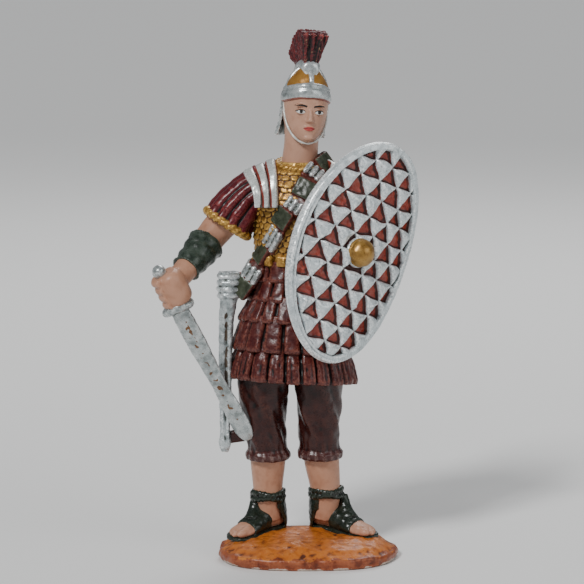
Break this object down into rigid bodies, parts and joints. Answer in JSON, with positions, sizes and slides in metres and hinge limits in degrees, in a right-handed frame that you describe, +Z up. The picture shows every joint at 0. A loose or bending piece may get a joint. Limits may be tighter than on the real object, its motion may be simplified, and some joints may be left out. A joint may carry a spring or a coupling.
{
  "type": "soldier figurine",
  "caption": "Painted standing figurine of a Roman soldier with a crested helmet, a short sword and a tall oval shield, on a small ground base.",
  "frame": {"origin": "centre of the flat underside of the ground base", "axes": "+Z up through the figure; the soldier's chest faces -Y; +X is to the soldier's left, the shield's side"},
  "size_m": [0.0554, 0.0324, 0.1116],
  "materials": {
    "painted_figure": "hand-painted resin, dark red cloth with gold, silver, green and skin colours, semi-gloss",
    "painted_shield": "hand-painted resin, silver lattice over brick red pockets, semi-gloss"
  },
  "bodies": {
    "root": {"soldier": "painted_figure", "shield": "painted_shield"}
  },
  "joints": []
}
